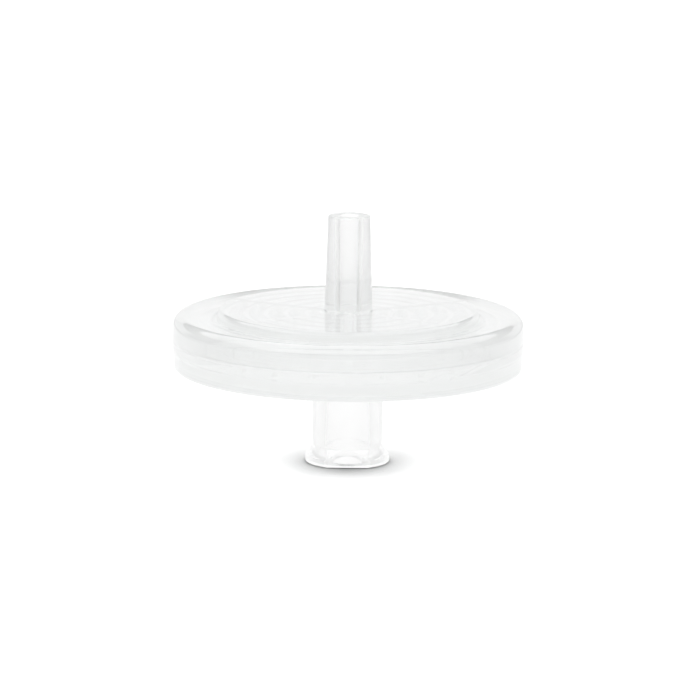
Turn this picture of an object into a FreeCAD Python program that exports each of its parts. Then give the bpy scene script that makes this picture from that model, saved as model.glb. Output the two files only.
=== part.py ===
import FreeCAD, Part
import math
import os

# Syringe filter, 33 mm class: slip cone outlet on top, lugged socket inlet below.
#
# Millimetres, +Z up the flow axis, origin at the middle of the inlet's foot.
# Two moulded plates pinch a membrane between their rib patterns. A ring moulded
# over both plates wraps their flanges and closes the filter for good.
# Both connectors are the 6 % cones that syringes and needles use.

# Heights above the foot
TOTAL_HEIGHT = 23.28
OUTLET_FACE = 14.43
RIM_CREST = 13.92
MOULD_LINE = 10.55
RIM_BASE = 8.84
INLET_FACE = 8.39

# Radii of the disc
RIM_RADIUS = 16.40
MOULD_STEP = 0.10
FACE_RADIUS = 12.20
FILTER_RADIUS = 13.00
MEMBRANE_RADIUS = 14.20
FLANGE_RADIUS = 15.00

# The stack inside the disc
MEMBRANE_BASE = 11.05
MEMBRANE_THICKNESS = 0.20
INLET_CHAMBER_DEPTH = 0.90
OUTLET_CHAMBER_DEPTH = 1.10
LIP_THICKNESS = 0.80

# The ring's section
SHOULDER_ROUNDING = 1.05
BASE_CHAMFER = 0.35
DISH_ANGLE = math.radians(6.0)

# Outlet slip cone
TAPER = 0.06
TIP_RADIUS = 1.98
TIP_CHAMFER = 0.30
BORE_TIP_RADIUS = 0.90
BORE_ROOT_RADIUS = 0.78

# Inlet hub, its socket and its two lugs
HUB_RADIUS = 3.30
HUB_ROOT_FLARE = 0.35
LUG_RADIUS = 3.92
LUG_EDGE_HEIGHT = 0.65
LUG_FLANK_TOP = 1.65
LUG_EDGE_CHAMFER = 0.12
SOCKET_MOUTH_RADIUS = 2.145
SOCKET_DEPTH = 8.00
SOCKET_CHAMFER = 0.22
INLET_PASSAGE_RADIUS = 1.25

# Drainage ribs under the outlet face
DRAIN_GROOVES = 6
DRAIN_WELL_RADIUS = 1.80
DRAIN_RIB_WIDTH = 0.60
RIB_DRAFT = 0.08
DRAIN_CHANNELS = 6
CHANNEL_WIDTH = 0.90
CHANNEL_FALL = 0.35

# Spreader ribs over the inlet face
SPREADER_RIBS = 12
SPREADER_WIDTH = 0.60
SPREADER_TOP_WIDTH = 0.40
SPREADER_OUTER_RADIUS = 12.40
LONG_RIB_START = 2.60
SHORT_RIB_START = 7.20

AXIS = FreeCAD.Vector(0, 0, 1)
ORIGIN = FreeCAD.Vector(0, 0, 0)

MEMBRANE_TOP = MEMBRANE_BASE + MEMBRANE_THICKNESS
DRAIN_CEILING = MEMBRANE_TOP + OUTLET_CHAMBER_DEPTH
CHAMBER_FLOOR = MEMBRANE_BASE - INLET_CHAMBER_DEPTH

# The dish falls inwards from the shoulder, whose arc it is tangent to at the crest
SHOULDER_CORNER = (RIM_CREST - SHOULDER_ROUNDING
                   + SHOULDER_ROUNDING * math.tan((math.pi / 2 + DISH_ANGLE) / 2))
DISH_EDGE = SHOULDER_CORNER - (RIM_RADIUS - FACE_RADIUS) * math.tan(DISH_ANGLE)
UPPER_FLANGE_TOP = DISH_EDGE - LIP_THICKNESS
LOWER_FLANGE_BASE = RIM_BASE + LIP_THICKNESS


def rounded_corner(before, here, after, rounding):
    """The tangent arc that rounds the corner at here, and its two ends."""
    towards_before = (before - here).normalize()
    towards_after = (after - here).normalize()
    half_angle = towards_before.getAngle(towards_after) / 2
    start = here + towards_before * (rounding / math.tan(half_angle))
    stop = here + towards_after * (rounding / math.tan(half_angle))
    inward = (towards_before + towards_after).normalize()
    middle = here + inward * (rounding / math.sin(half_angle) - rounding)
    return start, stop, Part.Arc(start, middle, stop).toShape()


def outline(corners):
    """A closed face in the XZ plane from (radius, height, rounding) corners."""
    places = [FreeCAD.Vector(radius, 0, height) for radius, height, _ in corners]
    spans = []
    arcs = []
    for index, (_, _, rounding) in enumerate(corners):
        here = places[index]
        before = places[index - 1]
        after = places[(index + 1) % len(places)]
        if rounding:
            start, stop, arc = rounded_corner(before, here, after, rounding)
            spans.append((start, stop))
            arcs.append(arc)
        else:
            spans.append((here, here))
            arcs.append(None)
    edges = []
    for index, arc in enumerate(arcs):
        if arc:
            edges.append(arc)
        leaving = spans[index][1]
        arriving = spans[(index + 1) % len(spans)][0]
        if leaving.distanceToPoint(arriving) > 1e-6:
            edges.append(Part.LineSegment(leaving, arriving).toShape())
    return Part.Face(Part.Wire(edges))


def turned(corners):
    """A solid of revolution about the flow axis."""
    return outline(corners).revolve(ORIGIN, AXIS, 360)


def around(shape, count, first_angle=0.0):
    """Copies of a shape, evenly spaced about the flow axis."""
    copies = []
    for index in range(count):
        copy = shape.copy()
        copy.rotate(ORIGIN, AXIS, first_angle + index * 360.0 / count)
        copies.append(copy)
    return copies


# Outlet plate

def cone_radius(height):
    """Outside radius of the slip cone, which widens downwards from its tip."""
    return TIP_RADIUS + (TOTAL_HEIGHT - height) * TAPER / 2


def outlet_blank():
    """Face, flange and slip cone as one turned body, before it is hollowed."""
    return turned([
        (0, MEMBRANE_TOP, 0),
        (FLANGE_RADIUS, MEMBRANE_TOP, 0),
        (FLANGE_RADIUS, UPPER_FLANGE_TOP, 0),
        (FACE_RADIUS, UPPER_FLANGE_TOP, 0),
        (FACE_RADIUS, OUTLET_FACE, 0),
        (cone_radius(OUTLET_FACE), OUTLET_FACE, 0),
        (cone_radius(TOTAL_HEIGHT - TIP_CHAMFER), TOTAL_HEIGHT - TIP_CHAMFER, 0),
        (TIP_RADIUS - TIP_CHAMFER, TOTAL_HEIGHT, 0),
        (0, TOTAL_HEIGHT, 0),
    ])


def outlet_bore():
    """The drawn bore, wider at the tip, down to the collecting well."""
    return turned([
        (0, DRAIN_CEILING - 0.1, 0),
        (BORE_ROOT_RADIUS, DRAIN_CEILING - 0.1, 0),
        (BORE_TIP_RADIUS, TOTAL_HEIGHT, 0),
        (BORE_TIP_RADIUS, TOTAL_HEIGHT + 1, 0),
        (0, TOTAL_HEIGHT + 1, 0),
    ])


def drain_grooves():
    """Ring grooves between the ribs, open towards the membrane."""
    pitch = (FILTER_RADIUS - DRAIN_WELL_RADIUS) / DRAIN_GROOVES
    grooves = []
    for index in range(DRAIN_GROOVES):
        inner = DRAIN_WELL_RADIUS + index * pitch + DRAIN_RIB_WIDTH
        outer = DRAIN_WELL_RADIUS + (index + 1) * pitch
        grooves.append(turned([
            (inner, MEMBRANE_TOP - 0.2, 0),
            (outer, MEMBRANE_TOP - 0.2, 0),
            (outer, DRAIN_CEILING, 0),
            (inner, DRAIN_CEILING, 0),
        ]))
    return grooves


def channel_section(distance, ceiling):
    """Section of a radial channel at a distance from the axis, open downwards."""
    base = MEMBRANE_TOP - 0.2
    half = CHANNEL_WIDTH / 2
    corners = [
        FreeCAD.Vector(distance, -half, base),
        FreeCAD.Vector(distance, half, base),
        FreeCAD.Vector(distance, half - RIB_DRAFT, ceiling),
        FreeCAD.Vector(distance, RIB_DRAFT - half, ceiling),
    ]
    return Part.makePolygon(corners + corners[:1])


def drain_channels():
    """Radial channels that cross the ribs and deepen towards the well."""
    inner = channel_section(0.5 * DRAIN_WELL_RADIUS, DRAIN_CEILING + CHANNEL_FALL)
    outer = channel_section(FILTER_RADIUS - 0.15, DRAIN_CEILING)
    channel = Part.makeLoft([inner, outer], True, True)
    return around(channel, DRAIN_CHANNELS, 360.0 / DRAIN_CHANNELS / 2)


def collecting_well():
    """The round pocket where the channels meet under the bore."""
    return turned([
        (0, MEMBRANE_TOP - 0.2, 0),
        (DRAIN_WELL_RADIUS, MEMBRANE_TOP - 0.2, 0),
        (DRAIN_WELL_RADIUS, DRAIN_CEILING, 0),
        (BORE_ROOT_RADIUS, DRAIN_CEILING + CHANNEL_FALL, 0),
        (0, DRAIN_CEILING + CHANNEL_FALL, 0),
    ])


def outlet_housing():
    """Outlet plate with its slip cone, bore and drainage ribs."""
    hollows = [collecting_well(), outlet_bore()]
    hollows += drain_grooves()
    hollows += drain_channels()
    return outlet_blank().cut(hollows)


# Inlet plate

def inlet_blank():
    """Face, flange, membrane seat and hub as one turned body."""
    return turned([
        (0, 0, 0),
        (HUB_RADIUS, 0, 0),
        (HUB_RADIUS, INLET_FACE - HUB_ROOT_FLARE, 0),
        (HUB_RADIUS + HUB_ROOT_FLARE, INLET_FACE, 0),
        (FACE_RADIUS, INLET_FACE, 0),
        (FACE_RADIUS, LOWER_FLANGE_BASE, 0),
        (FLANGE_RADIUS, LOWER_FLANGE_BASE, 0),
        (FLANGE_RADIUS, MEMBRANE_TOP, 0),
        (MEMBRANE_RADIUS, MEMBRANE_TOP, 0),
        (MEMBRANE_RADIUS, MEMBRANE_BASE, 0),
        (FILTER_RADIUS, MEMBRANE_BASE, 0),
        (FILTER_RADIUS - RIB_DRAFT, CHAMBER_FLOOR, 0),
        (0, CHAMBER_FLOOR, 0),
    ])


def lugs():
    """The foot flange, cut by two flats so that a lug is left on each side."""
    flange = turned([
        (0, 0, 0),
        (LUG_RADIUS - LUG_EDGE_CHAMFER, 0, 0),
        (LUG_RADIUS, LUG_EDGE_CHAMFER, 0),
        (LUG_RADIUS, LUG_EDGE_HEIGHT, 0),
        (HUB_RADIUS, LUG_FLANK_TOP, 0),
        (0, LUG_FLANK_TOP, 0),
    ])
    between_flats = Part.makeBox(
        4 * LUG_RADIUS, 2 * HUB_RADIUS, 2 * LUG_FLANK_TOP,
        FreeCAD.Vector(-2 * LUG_RADIUS, -HUB_RADIUS, -LUG_FLANK_TOP))
    return flange.common(between_flats)


def socket():
    """The cone socket with its lead-in chamfer, and the passage through the face."""
    end_radius = SOCKET_MOUTH_RADIUS - SOCKET_DEPTH * TAPER / 2
    return turned([
        (0, -1, 0),
        (SOCKET_MOUTH_RADIUS + SOCKET_CHAMFER, -1, 0),
        (SOCKET_MOUTH_RADIUS + SOCKET_CHAMFER, 0, 0),
        (SOCKET_MOUTH_RADIUS, SOCKET_CHAMFER, 0),
        (end_radius, SOCKET_DEPTH, 0),
        (INLET_PASSAGE_RADIUS, SOCKET_DEPTH, 0),
        (INLET_PASSAGE_RADIUS, CHAMBER_FLOOR - 0.30, 0),
        (INLET_PASSAGE_RADIUS + 0.50, CHAMBER_FLOOR + 0.20, 0),
        (0, CHAMBER_FLOOR + 0.20, 0),
    ])


def rib_outline(start, stop, width, height):
    """A rib's rectangle along +X at a height."""
    half = width / 2
    corners = [
        FreeCAD.Vector(start, -half, height),
        FreeCAD.Vector(stop, -half, height),
        FreeCAD.Vector(stop, half, height),
        FreeCAD.Vector(start, half, height),
    ]
    return Part.makePolygon(corners + corners[:1])


def spreader_rib(start):
    """A rib from the chamber floor up to the membrane, drafted on all four sides."""
    draft = (SPREADER_WIDTH - SPREADER_TOP_WIDTH) / 2
    foot = rib_outline(start, SPREADER_OUTER_RADIUS, SPREADER_WIDTH, CHAMBER_FLOOR)
    crest = rib_outline(
        start + draft, SPREADER_OUTER_RADIUS - draft, SPREADER_TOP_WIDTH, MEMBRANE_BASE)
    return Part.makeLoft([foot, crest], True, True)


def spreader_ribs():
    """Long ribs, with a short one between each pair where they spread apart."""
    half_pitch = 180.0 / SPREADER_RIBS
    long_ribs = around(spreader_rib(LONG_RIB_START), SPREADER_RIBS, half_pitch)
    short_ribs = around(spreader_rib(SHORT_RIB_START), SPREADER_RIBS)
    return long_ribs + short_ribs


def inlet_housing():
    """Inlet plate with its lugged hub, cone socket and spreader ribs."""
    body = inlet_blank().fuse([lugs()] + spreader_ribs())
    return body.cut(socket()).removeSplitter()


# Membrane and ring

def filter_membrane():
    """The cut disc that lies in the inlet plate's seat."""
    disc = Part.makeCylinder(MEMBRANE_RADIUS, MEMBRANE_THICKNESS)
    disc.translate(FreeCAD.Vector(0, 0, MEMBRANE_BASE))
    return disc


def ring_blank():
    """The ring's outside, with the dish inside its crest and the mould step."""
    lower_radius = RIM_RADIUS - MOULD_STEP
    return turned([
        (FACE_RADIUS, RIM_BASE, 0),
        (lower_radius - BASE_CHAMFER, RIM_BASE, 0),
        (lower_radius, RIM_BASE + BASE_CHAMFER, 0),
        (lower_radius, MOULD_LINE, 0),
        (RIM_RADIUS, MOULD_LINE, 0),
        (RIM_RADIUS, SHOULDER_CORNER, SHOULDER_ROUNDING),
        (FACE_RADIUS, DISH_EDGE, 0),
    ])


def overmoulded_ring(outlet, inlet):
    """The sealing ring, hollowed by exactly what it was moulded around."""
    between_flanges = turned([
        (0, LOWER_FLANGE_BASE, 0),
        (FLANGE_RADIUS - 0.5, LOWER_FLANGE_BASE, 0),
        (FLANGE_RADIUS - 0.5, UPPER_FLANGE_TOP, 0),
        (0, UPPER_FLANGE_TOP, 0),
    ])
    return ring_blank().cut([outlet, inlet, between_flanges]).removeSplitter()


def main():
    outlet = outlet_housing()
    inlet = inlet_housing()
    nodes = {
        "outlet_housing": outlet,
        "inlet_housing": inlet,
        "filter_membrane": filter_membrane(),
        "overmoulded_ring": overmoulded_ring(outlet, inlet),
    }
    os.makedirs("parts", exist_ok=True)
    for name, shape in nodes.items():
        shape.exportStep(os.path.join("parts", name + ".step"))
        print(name, len(shape.Solids), shape.isValid(), round(shape.Volume, 2), shape.BoundBox)


main()
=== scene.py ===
"""The looks of a sealed syringe filter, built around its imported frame.

The two plates and the ring that is moulded over them are bonded, so light meets
them as one body of milky plastic. They are drawn as one closed skin, with the
chambers, ribs and bores inside it, and the membrane lies in its slot.
"""

import math

import bpy
import numpy as np
from bpy.props import FloatProperty, IntProperty, PointerProperty, StringProperty
from mathutils import Matrix, Vector


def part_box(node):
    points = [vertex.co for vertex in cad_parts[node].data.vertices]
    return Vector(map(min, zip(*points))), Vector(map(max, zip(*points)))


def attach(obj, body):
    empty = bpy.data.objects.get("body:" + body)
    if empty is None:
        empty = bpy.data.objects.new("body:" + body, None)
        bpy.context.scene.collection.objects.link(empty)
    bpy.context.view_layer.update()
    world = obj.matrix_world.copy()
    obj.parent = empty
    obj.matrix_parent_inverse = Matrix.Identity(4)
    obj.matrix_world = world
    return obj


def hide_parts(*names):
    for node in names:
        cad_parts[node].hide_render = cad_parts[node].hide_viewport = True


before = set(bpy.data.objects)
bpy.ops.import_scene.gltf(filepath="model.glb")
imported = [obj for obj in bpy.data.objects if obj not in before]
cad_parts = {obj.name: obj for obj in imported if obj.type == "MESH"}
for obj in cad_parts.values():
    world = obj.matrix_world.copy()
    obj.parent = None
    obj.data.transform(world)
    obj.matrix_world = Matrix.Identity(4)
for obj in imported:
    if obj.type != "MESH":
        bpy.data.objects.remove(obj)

bl_info = {
    "name": "Syringe filter",
    "version": (1, 0, 0),
    "blender": (4, 5, 0),
    "location": "3D View > Sidebar > Syringe filter",
    "description": "Builds the milky housing, the membrane and the stage of a syringe filter",
    "category": "Object",
}

MM = 0.001
NOTHING = 1e-9          # lengths below this, in metres, count as none

# Grids
COLUMNS = 240           # columns of every turned grid, a multiple of both spoke counts
SPOKE_COLUMNS = 5       # columns that follow each spoke: edges, crests and middle line
EDGE_SHARE = 0.42       # how much of a sector a spoke's half may take at its edge
CREST_SHARE = 0.30      # and at its crest
FLAT_LIMIT = math.radians(84.0)     # half the widest angle that a foot's flat may span
ARC_STEP = math.radians(11.0)
SUPPORT = 0.05 * MM     # how near a straight stretch's end its support row lies
TRACE = 0.05 * MM       # the small rounding that every moulded edge has
SHARP_ANGLE = math.radians(28.0)

# Floor: a round card, seen through the object as an even white. Far to each side it
# darkens like the flags beside a studio set, and under the disc it is a little dimmer: a painted
# shadow of the disc.
CARD_RADIUS = 1.5
CARD_SIDES = 96
CARD_LIFT = 0.50
# Painted soft shadow round the foot: ambient occlusion darkens the card's colour where it is seen
# directly
SHADE_POWER = 1.2
SHADE_REACH = 0.006
SHADE_SAMPLES = 6
BACKWARD_SHADES = ((0.007, 1.4), (0.0007, 1.8))     # reach in metres, power
BACKWARD_LOOKS = ((-0.6, 0.8, 0.1), (0.6, 0.8, 0.1))
SIDE_FLAGS = {"From Min": 0.06, "From Max": 0.11, "To Min": 1.09, "To Max": 0.64}
PAINTED_DISC_SHADOW = {"From Min": 0.012, "From Max": 0.04, "To Min": 0.955, "To Max": 1.0}

# Room: (degrees above the horizon, brightness), and its sides, which fade to black
ROOM = (
    (-90.0, 0.95), (17.0, 0.95), (19.0, 0.0), (31.0, 0.0), (33.0, 1.60), (60.0, 1.60), (90.0, 0.40))
ROOM_SIDES = {"From Min": 0.65, "From Max": 0.88, "To Min": 1.0, "To Max": 0.0}

# Lamp
KEY_PLACE = (-0.45, -0.25, 0.45)
KEY_AIM = (0, 0, 0.01)
KEY_SIZE = 0.30
KEY_WATTS = 0.3

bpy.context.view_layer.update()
RING_LOW, RING_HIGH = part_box("overmoulded_ring")
OUTLET_LOW, OUTLET_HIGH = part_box("outlet_housing")
MEMBRANE_LOW, MEMBRANE_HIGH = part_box("filter_membrane")


def length(name, description, default):
    """A length property in metres, shown to the micron."""
    return FloatProperty(
        name=name, description=description, default=default, precision=6, unit="LENGTH")


class DiscSizes(bpy.types.PropertyGroup):
    """The disc: the ring's section and the plates' raised faces."""

    rim_radius: length("Rim radius", "Outside of the ring's upper band", RING_HIGH[0])
    rim_crest: length("Rim crest", "Height of the ring's highest circle", RING_HIGH[2])
    rim_base: length("Rim base", "Height of the ring's underside", RING_LOW[2])
    shoulder: length("Shoulder rounding", "Rounding of the ring's upper edge", 1.05 * MM)
    base_rounding: length("Base rounding", "Rounding of the ring's lower edge", 0.40 * MM)
    mould_line: length("Mould line", "Height where the ring's two bands meet", 10.55 * MM)
    mould_step: length("Mould step", "How far the lower band is set back", 0.10 * MM)
    mould_slope: length("Mould slope", "Half the height of the step's slope", 0.08 * MM)
    mould_rounding: length("Mould rounding", "Rounding of the step's two corners", 0.20 * MM)
    dish_angle: FloatProperty(
        name="Dish angle", description="Fall of the ring's top towards the raised face",
        default=math.radians(6.0), subtype="ANGLE")
    face_radius: length("Face radius", "Outside of the two raised faces", 12.20 * MM)
    outlet_face: length("Outlet face", "Height of the upper raised face", 14.43 * MM)
    inlet_face: length("Inlet face", "Height of the lower raised face", 8.39 * MM)
    face_rounding: length("Face rounding", "Rounding of the upper raised face's edge", 0.45 * MM)
    lip_rounding: length("Lip rounding", "Rounding of the ring's lips", 0.10 * MM)


class ConeSizes(bpy.types.PropertyGroup):
    """The outlet's slip cone and the inlet's hub, lugs and socket."""

    taper: FloatProperty(
        name="Taper", description="Change of diameter on length of both cones", default=0.06)
    tip_radius: length("Tip radius", "Outside of the slip cone at its end", 1.98 * MM)
    tip_rounding: length("Tip rounding", "Rounding of the slip cone's end", 0.12 * MM)
    root_rounding: length("Root rounding", "Fillet between cone and face", 0.25 * MM)
    bore_tip: length("Bore at tip", "Radius of the bore at the cone's end", 0.90 * MM)
    bore_root: length("Bore at root", "Radius of the bore at the plate", 0.78 * MM)
    hub_radius: length("Hub radius", "Outside of the inlet hub", 3.30 * MM)
    hub_flare: length("Hub flare", "Rounding where the hub meets the face", 0.35 * MM)
    lug_radius: length("Lug radius", "Outside of the two lugs", 3.92 * MM)
    lug_edge: length("Lug edge", "Height of the lugs' outer edge", 0.65 * MM)
    lug_flank: length("Lug flank", "Height where the lugs' slope meets the hub", 1.65 * MM)
    lug_rounding: length("Lug rounding", "Rounding of the lugs' edges", 0.12 * MM)
    lug_root: length("Lug root", "Rounding where the lugs' slope meets the hub", 0.10 * MM)
    socket_mouth: length("Socket mouth", "Radius of the socket at its mouth", 2.145 * MM)
    socket_depth: length("Socket depth", "Depth of the socket's cone", 8.00 * MM)
    socket_floor: length("Socket floor", "Rounding of the socket's inner end", 0.15 * MM)
    socket_chamfer: length("Socket chamfer", "Lead-in at the socket's mouth", 0.22 * MM)
    passage_radius: length("Passage radius", "Radius of the way into the chamber", 1.25 * MM)
    passage_chamfer: length("Passage chamfer", "Widening at the chamber's floor", 0.30 * MM)


class ChamberSizes(bpy.types.PropertyGroup):
    """The chambers on both sides of the membrane, with their ribs."""

    filter_radius: length("Filter radius", "Outside of both chambers", 13.00 * MM)
    ceiling: length("Ceiling", "Height of the outlet chamber's roof", 12.35 * MM)
    floor: length("Floor", "Height of the inlet chamber's floor", 10.15 * MM)
    draft: length("Draft", "How far a rib's wall leans", 0.08 * MM)
    grooves: IntProperty(name="Grooves", description="Ring grooves over the membrane", default=6)
    well_radius: length("Well radius", "Pocket where the channels meet", 1.80 * MM)
    rib_width: length("Rib width", "Width of a ring rib", 0.60 * MM)
    channels: IntProperty(name="Channels", description="Radial drain channels", default=6)
    channel_width: length("Channel width", "Width of a drain channel", 0.90 * MM)
    channel_fall: length("Channel fall", "How much a channel deepens inwards", 0.35 * MM)
    spokes: IntProperty(
        name="Spreader ribs", description="Radial ribs under the membrane", default=24)
    spoke_width: length("Spreader width", "Width of a spreader rib's foot", 0.60 * MM)
    spoke_slope: length("Spreader slope", "Width of a spreader rib's sloped side", 0.10 * MM)
    spoke_outer: length("Spreader end", "Radius where spreader ribs end", 12.40 * MM)
    long_start: length("Long rib start", "Radius where long ribs start", 2.60 * MM)
    short_start: length("Short rib start", "Radius where short ribs start", 7.20 * MM)


class MembraneSizes(bpy.types.PropertyGroup):
    """The filter membrane in its slot."""

    radius: length("Radius", "Outside of the membrane", MEMBRANE_HIGH[0])
    base: length("Base", "Height of its lower face", MEMBRANE_LOW[2])
    top: length("Top", "Height of its upper face", MEMBRANE_HIGH[2])
    gap: length("Gap", "Air between the membrane and the ribs", 0.012 * MM)


class Finish(bpy.types.PropertyGroup):
    """Colours of the finishes, as sRGB hex, and the plastic's inside."""

    plastic: StringProperty(
        name="Plastic", description="Surface tint of the plastic", default="#FFFFFF")
    depth_tint: StringProperty(
        name="Depth tint", description="Colour that depth gives white light in the plastic",
        default="#B1BCB6")
    depth: FloatProperty(
        name="Depth", description="Absorption in the plastic, per metre", default=8.0)
    haze: FloatProperty(
        name="Haze", description="Scattering in the plastic, per metre", default=500.0)
    haze_lean: FloatProperty(
        name="Haze lean", description="How far scattered light keeps its way", default=0.88)
    membrane: StringProperty(
        name="Membrane", description="The membrane's white", default="#FBFCFC")
    floor: StringProperty(name="Floor", description="The floor's white", default="#F2F2F2")


class StageSettings(bpy.types.PropertyGroup):
    """Camera and light."""

    elevation: FloatProperty(
        name="Elevation", description="Camera's height above the horizon",
        default=math.radians(11.0), subtype="ANGLE")
    roll: FloatProperty(
        name="Roll", description="Camera's tilt about its own axis",
        default=math.radians(0.49), subtype="ANGLE")
    distance: length("Distance", "From the camera to the point it looks at", 450.0 * MM)
    aim_side: length("Aim side", "Sideways place of the point it looks at", 0.174 * MM)
    aim_height: length("Aim height", "Height of the point it looks at", 10.535 * MM)
    view_width: length("View width", "Width of the view at that point", 65.36 * MM)


# Surfaces of revolution and their grids

def arc_points(before, here, after, rounding):
    """Points of the circle tangent to both lines of a corner, at equal angles along it."""
    back = (before - here) / np.linalg.norm(before - here)
    ahead = (after - here) / np.linalg.norm(after - here)
    half = math.acos(float(np.clip(back @ ahead, -1, 1))) / 2
    centre = here + (back + ahead) / np.linalg.norm(back + ahead) * rounding / math.sin(half)
    start = here + back * rounding / math.tan(half) - centre
    sweep = math.pi - 2 * half
    turn = math.copysign(1.0, back[0] * ahead[1] - back[1] * ahead[0]) * -1.0
    angles = turn * np.linspace(0, sweep, max(3, int(sweep / ARC_STEP) + 2))
    cos, sin = np.cos(angles), np.sin(angles)
    return centre + np.stack(
        [cos * start[0] - sin * start[1], sin * start[0] + cos * start[1]], axis=1)


def supported(start, stop):
    """Two points just inside a straight stretch's ends, which keep its shading flat."""
    span = stop - start
    near = min(SUPPORT / max(np.linalg.norm(span), NOTHING), 0.3)
    return np.array([start + span * near, stop - span * near])


def section(corners):
    """An open section line from (radius, height, rounding) corners: straight stretches
    joined by tangent arcs, as an array of (radius, height) rows."""
    places = [np.array(corner[:2], float) for corner in corners]
    pieces = [places[0][None, :]]
    for index in range(1, len(corners)):
        inner = index < len(corners) - 1 and corners[index][2] > 0
        if inner:
            joint = arc_points(places[index - 1], places[index], places[index + 1], corners[index][2])
        else:
            joint = places[index][None, :]
        pieces.append(supported(pieces[-1][-1], joint[0]))
        pieces.append(joint)
    return np.concatenate(pieces)


def spoke_angles(radii, spokes, edge, crest, first):
    """Column angles for rows at these radii. Five columns follow each spoke: its two
    edges, its two crests and its middle line, each parallel to the spoke, at the angle
    whose sine is offset over radius, but within the spoke's own sector near the middle.
    The rest divide the gap to the next spoke evenly."""
    radii = np.asarray(radii, float)
    sector = 2 * math.pi / spokes
    edge_angle = np.arcsin(np.minimum(edge / radii, math.sin(EDGE_SHARE * sector)))
    crest_angle = np.arcsin(np.minimum(crest / radii, math.sin(CREST_SHARE * sector)))
    spare = COLUMNS // spokes - SPOKE_COLUMNS
    shares = np.arange(1, spare + 1) / (spare + 1)
    gap = edge_angle[:, None] + shares * (sector - 2 * edge_angle[:, None])
    local = np.stack([-edge_angle, -crest_angle, 0 * radii, crest_angle, edge_angle], axis=1)
    local = np.concatenate([local, gap], axis=1)
    starts = first + sector * np.arange(spokes)
    return (starts[None, :, None] + local[:, None, :]).reshape(len(radii), -1)


def grid_points(radii, heights, angles):
    """Radius, height and angle grids turned to points in space."""
    return np.stack([radii * np.cos(angles), radii * np.sin(angles), heights], axis=-1)


def mesh_object(name, points, faces):
    """A mesh object from point and face arrays, shaded smooth but for its sharp edges."""
    mesh = bpy.data.meshes.new(name)
    mesh.from_pydata(points.reshape(-1, 3).tolist(), [], faces)
    mesh.validate()
    mesh.shade_smooth()
    mesh.set_sharp_from_angle(angle=SHARP_ANGLE)
    piece = bpy.data.objects.new(name, mesh)
    bpy.context.collection.objects.link(piece)
    return piece


def ring_faces(rows, columns, closed):
    """Quads between neighbouring rows and columns; the columns always close on
    themselves, and the rows do where closed says so."""
    row = np.arange(rows if closed else rows - 1)[:, None]
    column = np.arange(columns)[None, :]
    row_next = (row + 1) % rows
    column_next = (column + 1) % columns
    quads = np.stack([
        row * columns + column,
        row * columns + column_next,
        row_next * columns + column_next,
        row_next * columns + column], axis=-1)
    return quads.reshape(-1, 4).tolist()


# The housing

def shell_section(disc, cone, chamber):
    """The housing's outside from the chamber floor's passage, down through the socket,
    round the foot, hub and disc, over the slip cone and down its bore."""
    rise = math.tan(disc.dish_angle)
    shoulder_corner = disc.rim_crest - disc.shoulder + disc.shoulder * math.tan(
        math.pi / 4 + disc.dish_angle / 2)
    dish_edge = shoulder_corner - (disc.rim_radius - disc.face_radius) * rise
    lower_radius = disc.rim_radius - disc.mould_step
    total_height = OUTLET_HIGH[2]
    cone_root = cone.tip_radius + (total_height - disc.outlet_face) * cone.taper / 2
    socket_end = cone.socket_mouth - cone.socket_depth * cone.taper / 2
    groove = disc.lip_rounding
    corners = [
        (cone.passage_radius + cone.passage_chamfer, chamber.floor, 0),
        (cone.passage_radius, chamber.floor - cone.passage_chamfer, 0),
        (cone.passage_radius, cone.socket_depth, TRACE),
        (socket_end, cone.socket_depth, cone.socket_floor),
        (cone.socket_mouth, cone.socket_chamfer, 0.04 * MM),
        (cone.socket_mouth + cone.socket_chamfer, 0, 0.03 * MM),
        (cone.lug_radius, 0, cone.lug_rounding),
        (cone.lug_radius, cone.lug_edge, cone.lug_rounding),
        (cone.hub_radius, cone.lug_flank, cone.lug_root),
        (cone.hub_radius, disc.inlet_face, cone.hub_flare),
        (disc.face_radius, disc.inlet_face, disc.lip_rounding),
        (disc.face_radius, disc.rim_base + groove, 0.0),
        (disc.face_radius + groove, disc.rim_base, TRACE),
        (lower_radius, disc.rim_base, disc.base_rounding),
        (lower_radius, disc.mould_line - disc.mould_slope, disc.mould_rounding),
        (disc.rim_radius, disc.mould_line + disc.mould_slope, disc.mould_rounding),
        (disc.rim_radius, shoulder_corner, disc.shoulder),
        (disc.face_radius + groove, dish_edge + groove * rise, TRACE),
        (disc.face_radius, dish_edge - groove, 0.0),
        (disc.face_radius, disc.outlet_face, disc.face_rounding),
        (cone_root, disc.outlet_face, cone.root_rounding),
        (cone.tip_radius, total_height, cone.tip_rounding),
        (cone.bore_tip, total_height, 0.06 * MM),
        (cone.bore_root, chamber.ceiling + chamber.channel_fall, 0.0),
    ]
    return section(corners)


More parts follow.
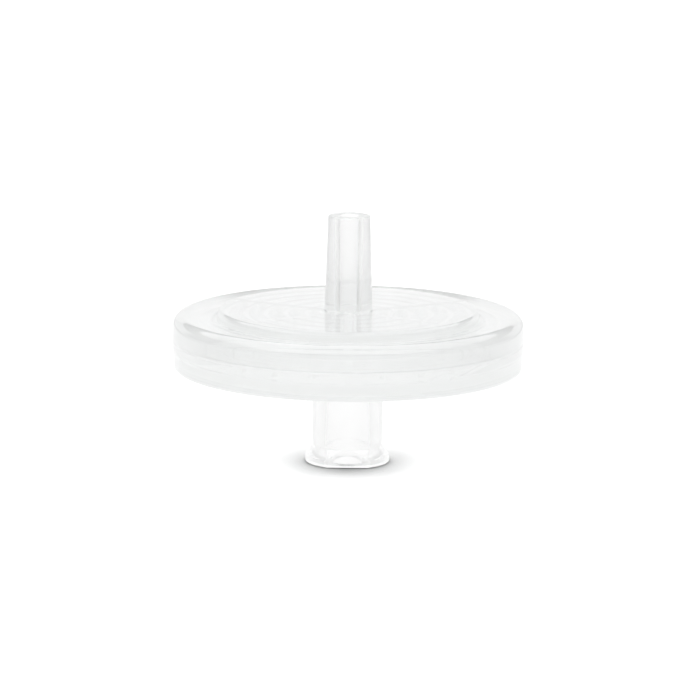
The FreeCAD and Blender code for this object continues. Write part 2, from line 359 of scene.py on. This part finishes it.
def lug_grid(line, angles, cone):
    """Radii and angles of the outside, cut by the two flats that leave the lugs: the
    radius is the turned one or the flat's, hub radius over the sine, whichever is less.
    Near the foot the columns slide so that one follows each edge of a flat, and under
    the foot the flats lie a support's width further in, so that no face has no width."""
    radii = np.repeat(line[:, :1], COLUMNS, axis=1)
    foot = (line[:, 1] < cone.lug_flank) & (line[:, 0] > cone.hub_radius * 1.0005)
    flat_base = (line[:, 1] < NOTHING) & (np.roll(line[:, 1], -1) < NOTHING)
    flats = np.where(flat_base, cone.hub_radius - SUPPORT, cone.hub_radius)
    base = angles[0] % (2 * math.pi)
    quarter = np.array([0.5, 1.5]) * math.pi
    edge = np.arcsin(cone.hub_radius / cone.lug_radius)
    slid = angles.copy()
    for row in np.flatnonzero(foot):
        reach = min(math.asin(flats[row] / line[row, 0]), FLAT_LIMIT)
        knots, goals = [0.0], [0.0]
        for middle in quarter:
            for side in (-1, 1):
                knot = middle + side * (math.pi / 2 - edge)
                knots.append(base[np.abs(base - knot).argmin()])
                goals.append(middle + side * (math.pi / 2 - reach))
        knots.append(2 * math.pi)
        goals.append(2 * math.pi)
        slid[row] = np.interp(base, knots, goals)
        flat = flats[row] / np.maximum(np.abs(np.sin(slid[row])), 1e-6)
        radii[row] = np.minimum(radii[row], flat)
    return radii, slid


def drain_grid(chamber, cone, membrane_top):
    """The outlet chamber's roof, from the bore out to its wall. Rows step between the
    roof and the rib crests, and offsets of a few hundredths keep neighbouring rows apart.
    Along each channel's columns the roof is a plane that rises towards the bore, so the
    ribs are cut through there."""
    pitch = (chamber.filter_radius - chamber.well_radius) / chamber.grooves
    lean = 0.5 * chamber.draft
    rows = [(cone.bore_root + SUPPORT, chamber.ceiling + chamber.channel_fall - 0.02 * MM)]
    rows.append((chamber.well_radius - 0.02 * MM, chamber.ceiling + 0.005 * MM))
    for index in range(chamber.grooves):
        start = chamber.well_radius + index * pitch
        stop = start + chamber.rib_width
        rows += [(start, chamber.ceiling), (start + lean, membrane_top)]
        rows += [(stop - lean, membrane_top), (stop, chamber.ceiling)]
        rows += [(stop + SUPPORT, chamber.ceiling), (start + pitch - SUPPORT, chamber.ceiling)]
    wall = chamber.filter_radius - chamber.draft
    rows[-1] = (wall - 0.03 * MM, chamber.ceiling)
    rows += [(wall, chamber.ceiling)]
    line = np.array(rows)
    half = chamber.channel_width / 2
    angles = spoke_angles(
        line[:, 0], chamber.channels, half, half - chamber.draft, math.pi / chamber.channels)
    heights = np.repeat(line[:, 1:], COLUMNS, axis=1)
    along = (line[:, 0] - cone.bore_root) / (wall - cone.bore_root)
    channel_roof = chamber.ceiling + chamber.channel_fall * (1 - along)
    column = np.arange(COLUMNS) % (COLUMNS // chamber.channels)
    core = (column >= 1) & (column <= 3)
    heights[:, core] = np.maximum(heights[:, core], channel_roof[:, None])
    return np.repeat(line[:, :1], COLUMNS, axis=1), heights, angles


def spreader_grid(chamber, cone, membrane_base):
    """The inlet chamber's floor, from its wall in to the passage. Along each rib's
    crest columns the height is the membrane's underside, long ribs and short by turns."""
    slope = chamber.spoke_slope
    outer = chamber.spoke_outer
    wall = chamber.filter_radius - chamber.draft
    radii = np.array([
        wall, wall - SUPPORT, outer + SUPPORT, outer, outer - slope, outer - slope - SUPPORT,
        chamber.short_start + slope, chamber.short_start, chamber.short_start - SUPPORT,
        chamber.long_start + slope, chamber.long_start, chamber.long_start - SUPPORT,
        cone.passage_radius + cone.passage_chamfer + SUPPORT])
    half = chamber.spoke_width / 2
    angles = spoke_angles(radii, chamber.spokes, half, half - slope, 2 * math.pi / chamber.spokes)
    heights = np.full((len(radii), COLUMNS), float(chamber.floor))
    per_spoke = COLUMNS // chamber.spokes
    column = np.arange(COLUMNS) % per_spoke
    spoke = np.arange(COLUMNS) // per_spoke
    crest = (column >= 1) & (column <= 3)
    for start, parity in ((chamber.long_start, 0), (chamber.short_start, 1)):
        tall = (radii <= outer - slope + NOTHING) & (radii >= start + slope - NOTHING)
        heights[np.ix_(tall, crest & (spoke % 2 == parity))] = membrane_base
    return np.repeat(radii[:, None], COLUMNS, axis=1), heights, angles


def housing_grid(disc, cone, chamber, membrane):
    """Every row of the housing's closed skin, in order, as one grid of points."""
    line = shell_section(disc, cone, chamber)
    half = chamber.channel_width / 2
    plain = spoke_angles(
        np.full(len(line), chamber.filter_radius), chamber.channels, half,
        half - chamber.draft, math.pi / chamber.channels)
    shell_radii, shell_angles = lug_grid(line, plain, cone)
    shell_heights = np.repeat(line[:, 1:], COLUMNS, axis=1)
    roof = drain_grid(chamber, cone, membrane.top)
    seat_line = section([
        (chamber.filter_radius, membrane.top, 0),
        (membrane.radius, membrane.top, 0),
        (membrane.radius, membrane.base, 0),
        (chamber.filter_radius, membrane.base, 0)])
    seat = (
        np.repeat(seat_line[:, :1], COLUMNS, axis=1),
        np.repeat(seat_line[:, 1:], COLUMNS, axis=1),
        np.repeat(plain[:1], len(seat_line), axis=0))
    floor = spreader_grid(chamber, cone, membrane.base)
    parts = [(shell_radii, shell_heights, shell_angles), roof, seat, floor]
    return grid_points(*[np.concatenate([part[axis] for part in parts]) for axis in range(3)])


def build_housing(disc, cone, chamber, membrane):
    """The whole moulded body as one closed skin: the outside, the bores and both chambers."""
    points = housing_grid(disc, cone, chamber, membrane)
    faces = ring_faces(points.shape[0], COLUMNS, closed=True)
    return mesh_object("moulded_housing", points, faces)


# The membrane

def build_membrane(membrane):
    """A thin disc: rows from the middle of its top, over a rounded edge, to the middle
    of its underside, with one point at each pole."""
    radius = membrane.radius - 2 * membrane.gap
    top = membrane.top - membrane.gap
    base = membrane.base + membrane.gap
    inner = 0.5 * MM
    line = section([
        (inner, base, 0), (radius, base, TRACE), (radius, top, TRACE), (inner, top, 0)])
    rings = np.linspace(0, 2 * math.pi, COLUMNS, endpoint=False)[None, :]
    points = grid_points(line[:, :1] + 0 * rings, line[:, 1:] + 0 * rings, rings + 0 * line[:, :1])
    rows = len(line)
    points = np.concatenate([points.reshape(-1, 3), [[0, 0, base], [0, 0, top]]])
    column = np.arange(COLUMNS)
    ahead = (column + 1) % COLUMNS
    below = np.stack([np.full(COLUMNS, rows * COLUMNS), ahead, column], axis=1)
    last = (rows - 1) * COLUMNS
    above = np.stack([np.full(COLUMNS, rows * COLUMNS + 1), last + column, last + ahead], axis=1)
    faces = ring_faces(rows, COLUMNS, closed=False) + below.tolist() + above.tolist()
    return mesh_object("filter_membrane_sheet", points, faces)


# Finishes

def linear(text):
    """An sRGB hex colour as linear red, green, blue and full alpha."""
    levels = [int(text[place:place + 2], 16) / 255 for place in (1, 3, 5)]
    return [level / 12.92 if level <= 0.04045 else ((level + 0.055) / 1.055) ** 2.4
            for level in levels] + [1.0]


def add(tree, kind, settings=None, links=None, **fields):
    """Adds a node: fields are its own settings, settings its socket values, and links
    the output sockets that its inputs take."""
    node = tree.nodes.new(kind)
    for name, value in fields.items():
        setattr(node, name, value)
    for name, value in (settings or {}).items():
        node.inputs[name].default_value = value
    for name, output in (links or {}).items():
        tree.links.new(output, node.inputs[name])
    return node


def new_material(name):
    """An empty node material and its tree."""
    material = bpy.data.materials.new(name)
    material.use_nodes = True
    material.node_tree.nodes.clear()
    return material, material.node_tree


def natural_polypropylene(finish):
    """Natural polypropylene, injection moulded on polished steel. Its crystals scatter
    light, so the eye gets a milky body under a smooth, slightly wavy skin: thin walls
    stay half clear and thick ones turn white."""
    material, tree = new_material("moulded_natural_polypropylene")
    place = add(tree, "ShaderNodeTexCoord").outputs["Object"]
    flow = add(tree, "ShaderNodeTexNoise", {"Scale": 420.0, "Detail": 2.0}, {"Vector": place})
    bump = add(tree, "ShaderNodeBump", {"Strength": 0.15, "Distance": 0.00002},
               {"Height": flow.outputs["Fac"]})
    shader = add(tree, "ShaderNodeBsdfPrincipled", {
        "Base Color": linear(finish.plastic), "Roughness": 0.08, "IOR": 1.49,
        "Transmission Weight": 1.0}, {"Normal": bump.outputs["Normal"]})
    haze = add(tree, "ShaderNodeVolumeScatter", {
        "Color": (1.0, 1.0, 1.0, 1.0), "Density": finish.haze,
        "Anisotropy": finish.haze_lean})
    depth = add(tree, "ShaderNodeVolumeAbsorption", {
        "Color": linear(finish.depth_tint), "Density": finish.depth})
    inside = add(tree, "ShaderNodeAddShader", links={
        0: haze.outputs["Volume"], 1: depth.outputs["Volume"]})
    add(tree, "ShaderNodeOutputMaterial", links={
        "Surface": shader.outputs["BSDF"], "Volume": inside.outputs["Shader"]})
    return material


def cast_membrane(finish):
    """Cast polymer filter membrane: a matt, dense white with the faintest grain."""
    material, tree = new_material("cast_polymer_membrane")
    place = add(tree, "ShaderNodeTexCoord").outputs["Object"]
    grain = add(tree, "ShaderNodeTexNoise", {"Scale": 5000.0, "Detail": 4.0}, {"Vector": place})
    bump = add(tree, "ShaderNodeBump", {"Strength": 0.4, "Distance": 0.00001},
               {"Height": grain.outputs["Fac"]})
    shader = add(tree, "ShaderNodeBsdfPrincipled", {
        "Base Color": linear(finish.membrane), "Roughness": 0.85},
        {"Normal": bump.outputs["Normal"]})
    add(tree, "ShaderNodeOutputMaterial", links={"Surface": shader.outputs["BSDF"]})
    return material


# Stage

def painted_contact_shadow(tree):
    """How open the card lies, for the painted soft shadow round the foot, which darkens the
    card's colour. The plain look up is multiplied by looks backwards, half left and half
    right, over a long and a short reach. Of each such pair the look that sees more counts,
    so the painted shadow is darkest in front of the foot and fades to its sides."""
    around = add(tree, "ShaderNodeAmbientOcclusion", {"Distance": SHADE_REACH},
                 samples=SHADE_SAMPLES)
    shade = add(tree, "ShaderNodeMath", {1: SHADE_POWER}, {0: around.outputs["AO"]},
                operation="POWER")
    for reach, power in BACKWARD_SHADES:
        looks = []
        for look in BACKWARD_LOOKS:
            ahead = add(tree, "ShaderNodeCombineXYZ", dict(zip("XYZ", look)))
            looks.append(add(tree, "ShaderNodeAmbientOcclusion", {"Distance": reach},
                             {"Normal": ahead.outputs["Vector"]}, samples=SHADE_SAMPLES))
        clearer = add(tree, "ShaderNodeMath", links={
            0: looks[0].outputs["AO"], 1: looks[1].outputs["AO"]}, operation="MAXIMUM")
        faded = add(tree, "ShaderNodeMath", {1: power}, {0: clearer.outputs[0]}, operation="POWER")
        shade = add(tree, "ShaderNodeMath", links={0: shade.outputs[0], 1: faded.outputs[0]},
                    operation="MULTIPLY")
    return shade.outputs[0]


def white_floor_material(finish):
    """Matt white card. Seen directly, it is lifted to plain white, and the lift and the
    colour are darkened close to the foot, a painted soft shadow. Seen through the object,
    it is an even white, darker far to each side and a little dimmer under the disc, a
    painted shadow of the disc: the dark sides draw the outlines of the clear plastic."""
    material, tree = new_material("matt_white_card")
    # The card's colour, darkened by the painted soft shadow round the foot
    card = add(tree, "ShaderNodeVectorMath", {0: linear(finish.floor)[:3]},
               {"Scale": painted_contact_shadow(tree)}, operation="SCALE")
    diffuse = add(tree, "ShaderNodeBsdfDiffuse", links={"Color": card.outputs[0]})
    lift = add(tree, "ShaderNodeEmission", {"Strength": CARD_LIFT}, {"Color": card.outputs[0]})
    lifted = add(tree, "ShaderNodeAddShader", links={0: diffuse.outputs[0], 1: lift.outputs[0]})
    place = add(tree, "ShaderNodeTexCoord").outputs["Object"]
    split = add(tree, "ShaderNodeSeparateXYZ", links={0: place})
    aside = add(tree, "ShaderNodeMath", links={0: split.outputs["X"]}, operation="ABSOLUTE")
    flags = add(tree, "ShaderNodeMapRange", SIDE_FLAGS, {"Value": aside.outputs[0]},
                interpolation_type="SMOOTHSTEP")
    # Painted shadow of the disc: the even white is dimmer under it
    away = add(tree, "ShaderNodeVectorMath", links={0: place}, operation="LENGTH")
    under = add(tree, "ShaderNodeMapRange", PAINTED_DISC_SHADOW, {"Value": away.outputs["Value"]},
                interpolation_type="SMOOTHSTEP")
    level = add(tree, "ShaderNodeMath", links={0: flags.outputs[0], 1: under.outputs[0]},
                operation="MULTIPLY")
    even = add(tree, "ShaderNodeEmission", {"Color": (1, 1, 1, 1)}, {"Strength": level.outputs[0]})
    direct = add(tree, "ShaderNodeLightPath").outputs["Is Camera Ray"]
    choice = add(tree, "ShaderNodeMixShader", links={
        0: direct, 1: even.outputs[0], 2: lifted.outputs[0]})
    add(tree, "ShaderNodeOutputMaterial", links={"Surface": choice.outputs[0]})
    material.cycles.emission_sampling = "NONE"
    return material


def build_floor(finish):
    """A round white card under the object."""
    angles = np.linspace(0, 2 * math.pi, CARD_SIDES, endpoint=False)
    points = grid_points(CARD_RADIUS + 0 * angles, 0 * angles, angles)
    piece = mesh_object("floor_card", points, [list(range(CARD_SIDES))])
    piece.data.materials.append(white_floor_material(finish))


def build_world():
    """A white room that draws the edges of a see-through object: brightness goes by height
    above the horizon, with a dark band round the walls, and fades to black at both sides."""
    world = bpy.data.worlds.new("white_room")
    world.use_nodes = True
    tree = world.node_tree
    tree.nodes.clear()
    facing = add(tree, "ShaderNodeTexCoord").outputs["Generated"]
    split = add(tree, "ShaderNodeSeparateXYZ", links={0: facing})
    walls = None
    for (low, dim), (high, bright) in zip(ROOM, ROOM[1:]):
        step = add(tree, "ShaderNodeMapRange", {
            "From Min": math.sin(math.radians(low)), "From Max": math.sin(math.radians(high)),
            "To Min": 0.0 if walls else dim, "To Max": bright - dim if walls else bright},
            {"Value": split.outputs["Z"]})
        walls = add(tree, "ShaderNodeMath", links={
            0: walls.outputs[0], 1: step.outputs[0]}, operation="ADD") if walls else step
    aside = add(tree, "ShaderNodeMath", links={0: split.outputs["X"]}, operation="ABSOLUTE")
    sides = add(tree, "ShaderNodeMapRange", ROOM_SIDES, {"Value": aside.outputs[0]},
                interpolation_type="SMOOTHSTEP")
    lit = add(tree, "ShaderNodeMath", links={0: walls.outputs[0], 1: sides.outputs[0]},
              operation="MULTIPLY")
    direct = add(tree, "ShaderNodeLightPath").outputs["Is Camera Ray"]
    strength = add(tree, "ShaderNodeMath", links={0: lit.outputs[0], 1: direct}, operation="MAXIMUM")
    light = add(tree, "ShaderNodeBackground", {"Color": (1, 1, 1, 1)}, {
        "Strength": strength.outputs[0]})
    add(tree, "ShaderNodeOutputWorld", links={"Surface": light.outputs[0]})
    world.cycles.sampling_method = "NONE"
    bpy.context.scene.world = world


def build_softbox(name, place, aim, size, watts):
    """A square area lamp at a place, turned towards a point."""
    lamp = bpy.data.lights.new(name, "AREA")
    lamp.shape = "SQUARE"
    lamp.size = size
    lamp.energy = watts
    holder = bpy.data.objects.new(name, lamp)
    bpy.context.collection.objects.link(holder)
    direction = np.array(aim, float) - np.array(place, float)
    holder.location = place
    holder.rotation_euler = look_euler(direction)


def look_euler(direction, roll=0.0):
    """Euler angles that turn a camera's or lamp's -Z along a direction."""
    facing = Vector(direction).to_track_quat("-Z", "Y").to_matrix()
    return (facing @ Matrix.Rotation(roll, 3, "Z")).to_euler()


def let_light_through(cycles):
    """Light may scatter and turn back often enough inside milky plastic to get out."""
    cycles.max_bounces = 64
    cycles.glossy_bounces = 64
    cycles.transmission_bounces = 64
    cycles.volume_bounces = 64
    cycles.blur_glossy = 0.0


def build_camera(stage):
    """A long lens, level with the disc and looking a little down on it."""
    camera = bpy.data.cameras.new("camera")
    camera.sensor_width = 36.0
    camera.lens = camera.sensor_width * stage.distance / stage.view_width
    camera.clip_start = 0.01
    camera.clip_end = 20.0
    holder = bpy.data.objects.new("camera", camera)
    bpy.context.collection.objects.link(holder)
    back = np.array([0.0, -math.cos(stage.elevation), math.sin(stage.elevation)])
    aim = np.array([stage.aim_side, 0.0, stage.aim_height])
    holder.location = aim + back * stage.distance
    holder.rotation_euler = look_euler(-back, stage.roll)
    bpy.context.scene.camera = holder


# Operators

class SYRINGEFILTER_OT_housing(bpy.types.Operator):
    """Build the moulded housing, which stands for both plates and the ring"""

    bl_idname = "syringe_filter.housing"
    bl_label = "Build housing"

    def execute(self, context):
        scene = context.scene
        piece = build_housing(
            scene.filter_disc, scene.filter_cones, scene.filter_chambers, scene.filter_membrane)
        piece.data.materials.append(natural_polypropylene(scene.filter_finish))
        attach(piece, "root")
        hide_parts("outlet_housing", "inlet_housing", "overmoulded_ring")
        return {"FINISHED"}


class SYRINGEFILTER_OT_membrane(bpy.types.Operator):
    """Build the filter membrane in its slot"""

    bl_idname = "syringe_filter.membrane"
    bl_label = "Build membrane"

    def execute(self, context):
        scene = context.scene
        piece = build_membrane(scene.filter_membrane)
        piece.data.materials.append(cast_membrane(scene.filter_finish))
        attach(piece, "root")
        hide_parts("filter_membrane")
        return {"FINISHED"}


class SYRINGEFILTER_OT_stage(bpy.types.Operator):
    """Build the floor, the light and the camera"""

    bl_idname = "syringe_filter.stage"
    bl_label = "Build stage"

    def execute(self, context):
        scene = context.scene
        build_floor(scene.filter_finish)
        build_world()
        build_softbox("key", KEY_PLACE, KEY_AIM, KEY_SIZE, KEY_WATTS)
        build_camera(scene.filter_stage)
        scene.view_settings.view_transform = "Standard"
        let_light_through(scene.cycles)
        return {"FINISHED"}


class SYRINGEFILTER_PT_panel(bpy.types.Panel):
    """The build steps, in the sidebar"""

    bl_label = "Syringe filter"
    bl_idname = "SYRINGEFILTER_PT_panel"
    bl_space_type = "VIEW_3D"
    bl_region_type = "UI"
    bl_category = "Syringe filter"

    def draw(self, context):
        for step in STEPS:
            self.layout.operator(step.bl_idname)


GROUPS = {
    "filter_disc": DiscSizes,
    "filter_cones": ConeSizes,
    "filter_chambers": ChamberSizes,
    "filter_membrane": MembraneSizes,
    "filter_finish": Finish,
    "filter_stage": StageSettings,
}
STEPS = (SYRINGEFILTER_OT_housing, SYRINGEFILTER_OT_membrane, SYRINGEFILTER_OT_stage)


def register():
    for name, group in GROUPS.items():
        bpy.utils.register_class(group)
        setattr(bpy.types.Scene, name, PointerProperty(type=group))
    for item in STEPS + (SYRINGEFILTER_PT_panel,):
        bpy.utils.register_class(item)


def unregister():
    for item in STEPS + (SYRINGEFILTER_PT_panel,):
        bpy.utils.unregister_class(item)
    for name, group in GROUPS.items():
        delattr(bpy.types.Scene, name)
        bpy.utils.unregister_class(group)


def main():
    register()
    bpy.ops.syringe_filter.housing()
    bpy.ops.syringe_filter.membrane()
    bpy.ops.syringe_filter.stage()


if __name__ == "__main__":
    main()
